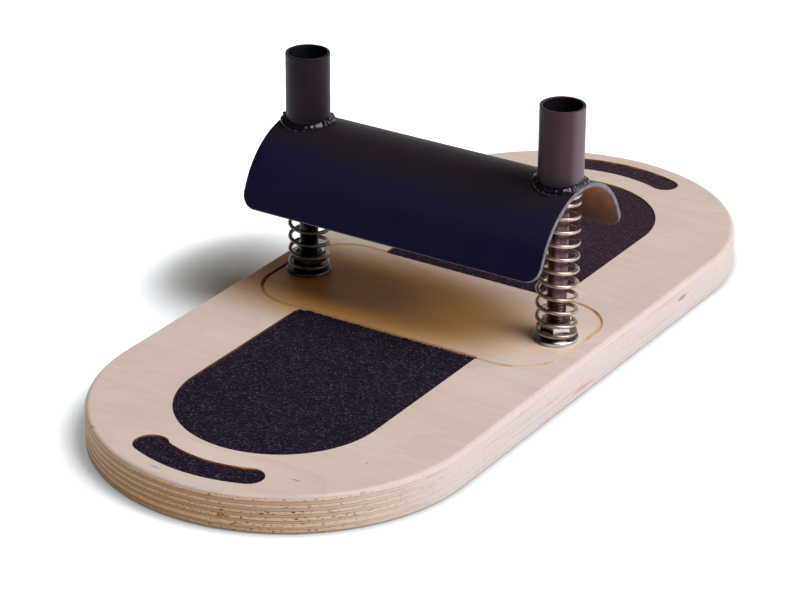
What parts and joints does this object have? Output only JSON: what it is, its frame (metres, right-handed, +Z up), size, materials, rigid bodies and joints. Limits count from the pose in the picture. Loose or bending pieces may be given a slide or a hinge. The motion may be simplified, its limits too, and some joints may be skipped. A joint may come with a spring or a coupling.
{
  "type": "foot corrector",
  "caption": "Sprung foot exerciser: an arched steel saddle with guide tubes slides down bolts against compression springs, over a round-ended plywood board with grit pads.",
  "frame": {"origin": "centre of the board's underside, on the surface that the board rests on", "axes": "+X along the saddle towards the taller guide tube, +Y along the board's long axis, +Z up"},
  "size_m": [0.191, 0.438, 0.1408],
  "materials": {
    "birch_plywood": "clear satin lacquer on a pale face veneer, bare sanded edge",
    "black_grit": "coarse black mineral grit on an adhesive sheet",
    "black_paint": "satin black paint on steel",
    "zinc_plated_steel": "bright zinc plate",
    "spring_steel": "bright drawn wire"
  },
  "bodies": {
    "base": {"base_board": "birch_plywood", "front_grip_pad": "black_grit", "rear_grip_pad": "black_grit", "front_grip_strip": "black_grit", "rear_grip_strip": "black_grit", "left_bolt": "zinc_plated_steel", "right_bolt": "zinc_plated_steel", "left_head_washer": "zinc_plated_steel", "right_head_washer": "zinc_plated_steel", "left_base_nut": "zinc_plated_steel", "right_base_nut": "zinc_plated_steel", "left_base_washer": "zinc_plated_steel", "right_base_washer": "zinc_plated_steel", "left_bottom_washer": "zinc_plated_steel", "right_bottom_washer": "zinc_plated_steel", "left_bottom_nut": "zinc_plated_steel", "right_bottom_nut": "zinc_plated_steel", "left_spring": "spring_steel", "right_spring": "spring_steel"},
    "saddle": {"saddle_arch": "black_paint", "left_guide_tube": "black_paint", "right_guide_tube": "black_paint", "left_weld_bead": "black_paint", "right_weld_bead": "black_paint"}
  },
  "joints": [
    {"name": "saddle_press", "type": "slide", "parent": "base", "child": "saddle", "axis": [0, 0, 1], "range_m": [-0.025, 0], "stiffness_N_per_m": 5200, "springref_m": 0.01, "deforming": ["left_spring", "right_spring"]}
  ]
}
